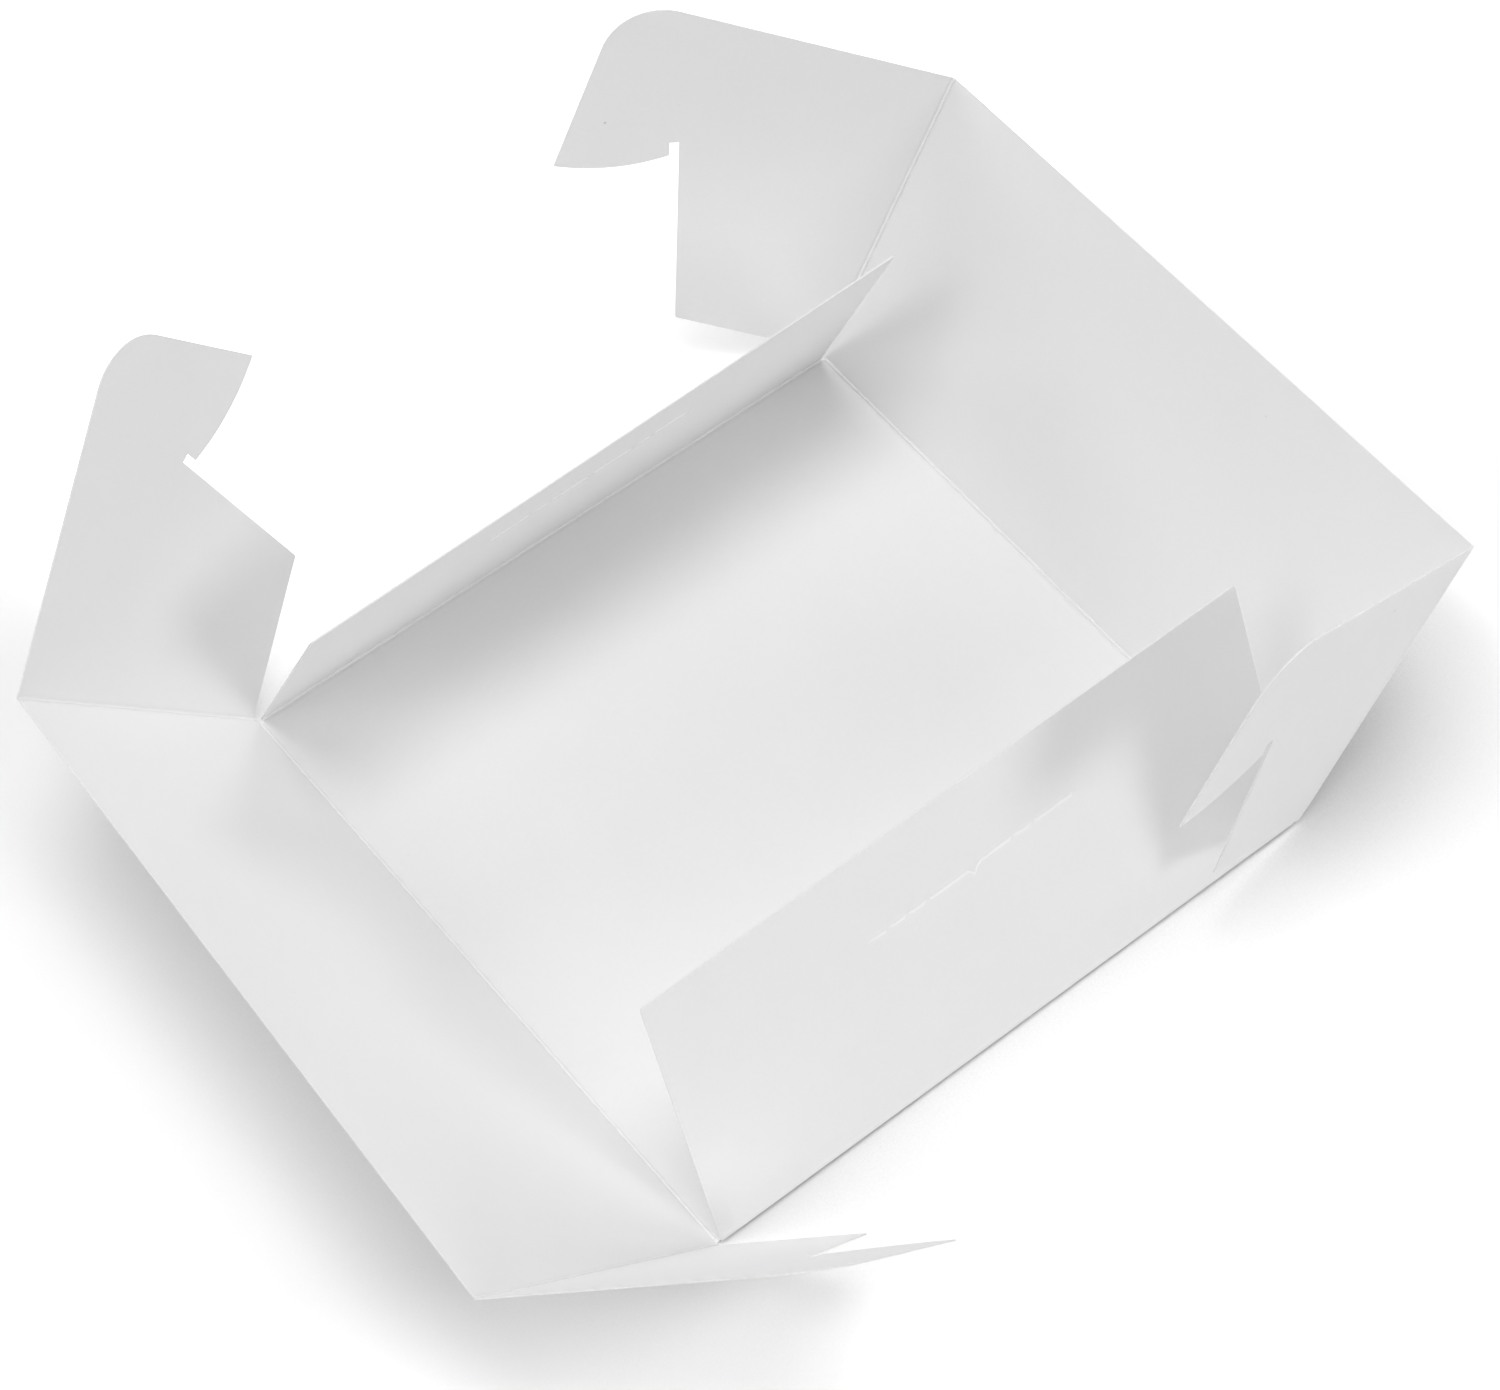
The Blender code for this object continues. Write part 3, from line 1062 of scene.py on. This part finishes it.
def make_end_wall(wall):
    half = BASE_SIDE / 2 - END_WALL_INSET
    left_trim, right_trim = TOP_TRIMS[wall]
    bottom_left = (-half, -WRAP_LENGTH)
    bottom_right = (half, -WRAP_LENGTH)
    top_right = (half - right_trim, END_WALL_HEIGHT)
    top_left = (left_trim - half, END_WALL_HEIGHT)
    outline = [bottom_left, bottom_right]
    outline += rounded_corner(bottom_right, top_right, top_left, SOFT_CORNER_RADIUS)
    outline += rounded_corner(top_right, top_left, bottom_left, SOFT_CORNER_RADIUS)
    columns = levels_between(-half, half, GRID_STEP)
    rows = rows_from_crease(END_WALL_HEIGHT)

    def relief(x, y):
        groove, shoulder = crease_relief(y)
        sink = lip_sink(x, y)
        return groove + sink, shoulder + sink

    # The lips are marked for the near-white finish, a painted highlight
    mesh = flat_board(
        wall, outline, columns, rows, relief, [slit_outline()], lip_points(), is_on_lip
    )
    placement = crease_frame(wall)
    piece = fold_board(wall + "_board", mesh, placement, FOLDS[wall], TWISTS[wall])
    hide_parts(wall)
    bend_at_crease(piece, FOLDS[wall], "base", wall)
    return piece


for wall in ("front_wall", "back_wall"):
    print(wall, "faces:", len(make_end_wall(wall).data.polygons))

# %% Side walls
def make_side_wall(wall):
    half = WING_CREASE_OFFSET
    outline = [(-half, -WRAP_LENGTH), (half, -WRAP_LENGTH)]
    outline += [(half, SIDE_WALL_HEIGHT), (-half, SIDE_WALL_HEIGHT)]

    def relief(x, y):
        if half - abs(x) < y:
            return crease_relief(half - abs(x))[0], 0.0
        return crease_relief(y)

    rows = rows_from_crease(SIDE_WALL_HEIGHT)
    mesh = flat_board(wall, outline, columns_between_creases(half), rows, relief)
    placement = crease_frame(wall)
    piece = fold_board(wall + "_board", mesh, placement, FOLDS[wall], TWISTS[wall], half)
    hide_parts(wall)
    bend_at_crease(piece, FOLDS[wall], "base", wall)
    return piece


for wall in ("left_wall", "right_wall"):
    print(wall, "faces:", len(make_side_wall(wall).data.polygons))

# %% [markdown]
# ## Hooked wings
#
# A wing has a rounded shoulder, a hook with a slightly bellied underside, a small square notch at
# the hook's root, and a slanted edge down to its foot. The notch is what locks behind the slit.

# %% A bellied edge
BELLY_STEPS = 16


def bulged_edge(start, end, belly):
    """Points of an arc from start to end that bulges to the right of the way along by belly."""
    start = Vector(start)
    end = Vector(end)
    chord = end - start
    radius = chord.length_squared / (8 * belly) + belly / 2
    outward = Vector((chord.y, -chord.x)).normalized()
    centre = (start + end) / 2 - outward * (radius - belly)
    half_sweep = math.asin(chord.length / (2 * radius))
    turns = [half_sweep * (2 * step / BELLY_STEPS - 1) for step in range(BELLY_STEPS + 1)]
    return [tuple(centre + Matrix.Rotation(turn, 2) @ (outward * radius)) for turn in turns]


# %% Wing outline
WING_REACH = 123.5 * MM
WING_TOP_FALL = 1 * MM
WING_SHOULDER_RADIUS = 21.5 * MM
WING_FOOT_HEIGHT = 2.5 * MM
WING_FOOT_REACH = 58.9 * MM
HOOK_TIP_HEIGHT = 53.5 * MM
HOOK_BELLY = 2.8 * MM
NOTCH_REACH = 84.1 * MM
NOTCH_HEIGHT = 75.1 * MM
NOTCH_WIDTH = 3.4 * MM
NOTCH_DEPTH = 5.3 * MM
WING_FOOT_FILLET = 1.5 * MM
FILLET_STEPS = 5
SHOULDER_STEPS = 24


def wing_outline():
    """The wing as reach and height, counter-clockwise from its foot at the crease."""
    foot = (WING_FOOT_REACH, WING_FOOT_HEIGHT)
    notch_root = Vector((NOTCH_REACH, NOTCH_HEIGHT))
    up_the_edge = (notch_root - Vector(foot)).normalized()
    across_the_notch = Vector((up_the_edge.y, -up_the_edge.x))
    notch_far_corner = notch_root + across_the_notch * NOTCH_WIDTH
    heel = notch_far_corner - up_the_edge * NOTCH_DEPTH
    tip = (WING_REACH, HOOK_TIP_HEIGHT)
    shoulder_reach = WING_REACH - WING_SHOULDER_RADIUS
    shoulder_height = SIDE_WALL_HEIGHT - WING_TOP_FALL - WING_SHOULDER_RADIUS
    fillet_foot = WING_FOOT_HEIGHT - WING_FOOT_FILLET
    points = [(-WRAP_LENGTH, fillet_foot)]
    for step in range(FILLET_STEPS + 1):
        turn = QUARTER_TURN * step / FILLET_STEPS
        points.append(
            (
                WING_FOOT_FILLET * (1 - math.cos(turn)),
                fillet_foot + WING_FOOT_FILLET * math.sin(turn),
            )
        )
    points += rounded_corner(points[-1], foot, notch_root, SOFT_CORNER_RADIUS)
    points += [tuple(notch_root), tuple(notch_far_corner)]
    points += bulged_edge(heel, tip, HOOK_BELLY)
    for step in range(SHOULDER_STEPS + 1):
        turn = QUARTER_TURN * step / SHOULDER_STEPS
        points.append(
            (
                shoulder_reach + WING_SHOULDER_RADIUS * math.cos(turn),
                shoulder_height + WING_SHOULDER_RADIUS * math.sin(turn),
            )
        )
    points += [(0.0, SIDE_WALL_HEIGHT), (-WRAP_LENGTH, SIDE_WALL_HEIGHT)]
    return points


print("Wing outline points:", len(wing_outline()))

# %% Wings
WINGS = {
    "left_back_wing": ("left_wall", 1),
    "left_front_wing": ("left_wall", -1),
    "right_front_wing": ("right_wall", 1),
    "right_back_wing": ("right_wall", -1),
}


def wing_crease_frame(wing):
    """The frame of a wing's crease before the wing is folded, at the end of its warped wall."""
    wall, side = WINGS[wing]
    end_fold = FOLDS[wall] + side * TWISTS[wall]
    placement = crease_frame(wall) @ Matrix.Rotation(end_fold, 4, "X")
    placement = placement @ Matrix.Translation((side * WING_CREASE_OFFSET, 0, 0))
    return placement @ Matrix.Rotation(-side * QUARTER_TURN, 4, "Z")


def make_wing(wing):
    wall, side = WINGS[wing]
    outline = [(-side * height, reach) for reach, height in wing_outline()]
    if side < 0:
        outline.reverse()
    ends = sorted((-side * (WING_FOOT_HEIGHT - WING_FOOT_FILLET), -side * SIDE_WALL_HEIGHT))
    columns = levels_between(ends[0], ends[1], GRID_STEP)

    def relief(x, y):
        return crease_relief(y)

    mesh = flat_board(wing, outline, columns, rows_from_crease(WING_REACH), relief)
    placement = wing_crease_frame(wing)
    piece = fold_board(wing + "_board", mesh, placement, FOLDS[wing])
    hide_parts(wing)
    bend_at_crease(piece, FOLDS[wing], wall, wing)
    return piece


for wing in WINGS:
    print(wing, "faces:", len(make_wing(wing).data.polygons))

# %% [markdown]
# ## Crease beads
#
# A creasing rule presses a groove into the outside of the sheet, and the board swells into a low
# bead along the inside of the fold. Eight beads follow eight straight lines, so a Geometry Nodes tree
# sweeps a small round section along each one. The bead is centred on the turning line, so both panels
# roll round it and it stays put.

# %% The bead tree
BASE_BEAD_RADIUS = 0.50 * MM
BEAD_SECTION_POINTS = 16
BEAD_STEP = 4 * MM
# A Random Value node has sockets for each kind of data, so those for plain numbers go by number
RANDOM_LOWEST = 2
RANDOM_HIGHEST = 3
RANDOM_RESULT = 1


def build_bead_tree():
    tree = bpy.data.node_groups.new("crease_bead", "GeometryNodeTree")
    # A modifier hands its tree a mesh first, but a bead is made from nothing
    add_socket(tree, "Unused Mesh", "INPUT", "Geometry")
    for label in ("Start", "End"):
        add_socket(tree, label, "INPUT", "Vector")
    for label in ("Radius", "Step", "Waver"):
        add_socket(tree, label, "INPUT", "Float", 1.0)
    for label in ("Section Points", "Seed"):
        add_socket(tree, label, "INPUT", "Int", 1)
    add_socket(tree, "Finish", "INPUT", "Material")
    add_socket(tree, "Bead", "OUTPUT", "Geometry")
    given = add_node(tree, "NodeGroupInput").outputs
    result = add_node(tree, "NodeGroupOutput")

    def add_curve(kind, sources, **settings):
        return add_node(tree, kind, sources, **settings).outputs["Curve"]

    ends = {"Start": given["Start"], "End": given["End"]}
    line = add_curve("GeometryNodeCurvePrimitiveLine", ends)
    steps = {"Curve": line, "Length": given["Step"]}
    stations = add_curve("GeometryNodeResampleCurve", steps, mode="LENGTH")
    limits = {
        RANDOM_LOWEST: calculate(tree, "SUBTRACT", 1.0, given["Waver"]),
        RANDOM_HIGHEST: calculate(tree, "ADD", 1.0, given["Waver"]),
        "Seed": given["Seed"],
    }
    random = add_node(tree, "FunctionNodeRandomValue", limits, data_type="FLOAT")
    wander = random.outputs[RANDOM_RESULT]
    sized = add_curve("GeometryNodeSetCurveRadius", {"Curve": stations, "Radius": wander})
    circle = {"Resolution": given["Section Points"], "Radius": given["Radius"]}
    section = add_curve("GeometryNodeCurvePrimitiveCircle", circle, mode="RADIUS")
    sweep = {"Curve": sized, "Profile Curve": section, "Scale": wander, "Fill Caps": True}
    swept = add_node(tree, "GeometryNodeCurveToMesh", sweep).outputs["Mesh"]
    feed(tree, result, {"Bead": set_material(tree, realize(tree, swept), given["Finish"])})
    return tree


bead_tree = build_bead_tree()
print("Bead tree nodes:", len(bead_tree.nodes))

# %% Beads round the base and beside the wings
BEAD_WAVER_SHARE = 0.05
CORNER_RELIEF = 1.4 * MM
# The left wall's wings are creased more lightly than the right wall's
WING_BEAD_RADII = {"left_wall": 0.30 * MM, "right_wall": 0.52 * MM}


def make_bead(node, body, start, end, placement, radius, seed):
    values = {
        "Start": (start, 0.0, 0.0),
        "End": (end, 0.0, 0.0),
        "Radius": radius,
        "Step": BEAD_STEP,
        "Waver": BEAD_WAVER_SHARE,
        "Section Points": BEAD_SECTION_POINTS,
        "Seed": seed,
        "Finish": finishes["pressed_crease"],
    }
    empty_mesh = bpy.data.meshes.new(node)
    piece = run_tree(node + "_bead", empty_mesh, bead_tree, values, placement)
    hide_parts(node)
    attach(piece, body)
    return piece


seed = 1
for wall in HEADINGS:
    end = BASE_SIDE / 2 - CORNER_RELIEF
    node = wall.replace("_wall", "_crease")
    make_bead(node, "base", -end, end, crease_frame(wall), BASE_BEAD_RADIUS, seed)
    seed += 1
for wing, (wall, side) in WINGS.items():
    foot = -side * (WING_FOOT_HEIGHT - WING_FOOT_FILLET)
    top = -side * SIDE_WALL_HEIGHT
    radius = WING_BEAD_RADII[wall]
    make_bead(wing + "_crease", wall, foot, top, wing_crease_frame(wing), radius, seed)
    seed += 1
print("Beads made:", seed - 1)
